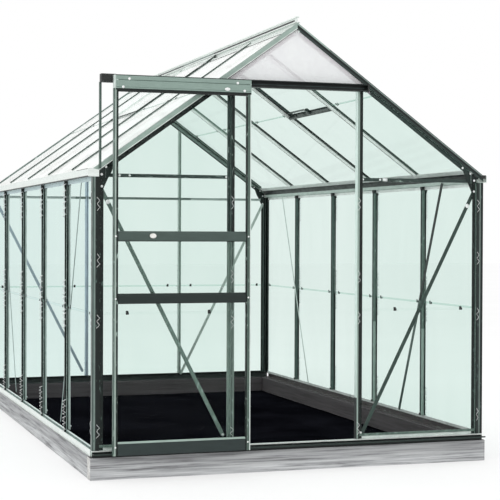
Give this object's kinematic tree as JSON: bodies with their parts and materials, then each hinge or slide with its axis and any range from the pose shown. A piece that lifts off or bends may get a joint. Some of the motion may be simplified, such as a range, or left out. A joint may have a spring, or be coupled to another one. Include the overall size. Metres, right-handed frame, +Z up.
{
  "type": "greenhouse",
  "caption": "Walk-in glazed aluminium greenhouse on a timber plinth, with a sliding gable door, rainwater gutters and hinged roof vents.",
  "frame": {"origin": "middle of the whole footprint, door leaf included, at ground level", "axes": "+Z up, +X across the gables to the right seen from the front, -Y towards the door's gable, +Y along the ridge to the rear gable"},
  "size_m": [1.97, 3.261, 2.109],
  "materials": {
    "aluminium": "mill aluminium with a thin green-grey coat, satin",
    "dark_aluminium": "dark green-grey satin coat",
    "glass": "clear 3 mm horticultural glass, faintly green",
    "acrylic": "clear acrylic sheet, slightly hazy",
    "timber": "weathered grey sawn timber with open grain",
    "membrane": "woven black ground cover",
    "nylon": "white moulded nylon",
    "steel": "bright zinc-plated bolts and spring wire clips",
    "black_plastic": "black moulded end caps and lap clips",
    "rubber": "black glazing strip"
  },
  "bodies": {
    "frame": {"plinth_front": "timber", "plinth_rear": "timber", "plinth_left": "timber", "plinth_right": "timber", "ground_cover": "membrane", "sill_front": "aluminium", "sill_rear": "aluminium", "sill_left": "aluminium", "sill_right": "aluminium", "corner_post_front_left": "aluminium", "corner_post_front_right": "aluminium", "corner_post_rear_left": "aluminium", "corner_post_rear_right": "aluminium", "wall_bar_left_1": "aluminium", "wall_bar_left_2": "aluminium", "wall_bar_left_3": "aluminium", "wall_bar_left_4": "aluminium", "wall_bar_right_1": "aluminium", "wall_bar_right_2": "aluminium", "wall_bar_right_3": "aluminium", "wall_bar_right_4": "aluminium", "rear_post_left": "aluminium", "rear_post_right": "aluminium", "door_jamb_left": "aluminium", "door_jamb_right": "aluminium", "eave_gutter_left": "aluminium", "eave_gutter_right": "aluminium", "ridge_bar": "aluminium", "rafter_front_left": "aluminium", "rafter_front_right": "aluminium", "rafter_rear_left": "aluminium", "rafter_rear_right": "aluminium", "roof_bar_left_1": "aluminium", "roof_bar_left_2": "aluminium", "roof_bar_left_3": "aluminium", "roof_bar_left_4": "aluminium", "roof_bar_right_1": "aluminium", "roof_bar_right_2": "aluminium", "roof_bar_right_3": "aluminium", "roof_bar_right_4": "aluminium", "wall_glass_left": "glass", "wall_glass_right": "glass", "roof_glass_left": "glass", "roof_glass_right": "glass", "gable_glass_rear": "glass", "gable_glass_front": "glass", "door_track": "dark_aluminium", "track_strut": "aluminium", "slam_bar_left": "dark_aluminium", "slam_bar_right": "dark_aluminium"},
    "door": {"door_frame": "aluminium", "door_glass": "glass"},
    "roller_left": {"door_roller_left": "nylon"},
    "roller_right": {"door_roller_right": "nylon"},
    "vent_left": {"vent_frame_left": "aluminium", "vent_glass_left": "glass"},
    "vent_right": {"vent_frame_right": "aluminium", "vent_glass_right": "glass"},
    "stay_left": {"vent_stay_left": "dark_aluminium"},
    "stay_right": {"vent_stay_right": "dark_aluminium"}
  },
  "joints": [
    {"name": "door_slide", "type": "slide", "parent": "frame", "child": "door", "axis": [1, 0, 0], "range_m": [0, 0.5645]},
    {"name": "roller_left_spin", "type": "hinge", "parent": "door", "child": "roller_left", "pos_m": [-0.824, -1.595, 1.784], "axis": [0, 1, 0], "range_deg": [0, 4050]},
    {"name": "roller_right_spin", "type": "hinge", "parent": "door", "child": "roller_right", "pos_m": [-0.305, -1.595, 1.784], "axis": [0, 1, 0], "range_deg": [0, 4050]},
    {"name": "vent_left_hinge", "type": "hinge", "parent": "frame", "child": "vent_left", "pos_m": [-0.0065, 0.0255, 2.0765], "axis": [0, 1, 0], "range_deg": [0, 35]},
    {"name": "vent_right_hinge", "type": "hinge", "parent": "frame", "child": "vent_right", "pos_m": [0.0065, -0.6125, 2.0765], "axis": [0, -1, 0], "range_deg": [0, 35]},
    {"name": "stay_left_pivot", "type": "hinge", "parent": "vent_left", "child": "stay_left", "pos_m": [-0.3995, 0.0255, 1.76649], "axis": [-0.8123, 0, -0.5833], "range_deg": [0, 90]},
    {"name": "stay_right_pivot", "type": "hinge", "parent": "vent_right", "child": "stay_right", "pos_m": [0.3995, -0.6125, 1.76649], "axis": [-0.8123, 0, 0.5833], "range_deg": [0, 90]}
  ],
  "couplings": [
    {"joint": "roller_left_spin", "follows": "door_slide", "rad_per_m": 125},
    {"joint": "roller_right_spin", "follows": "door_slide", "rad_per_m": 125}
  ]
}
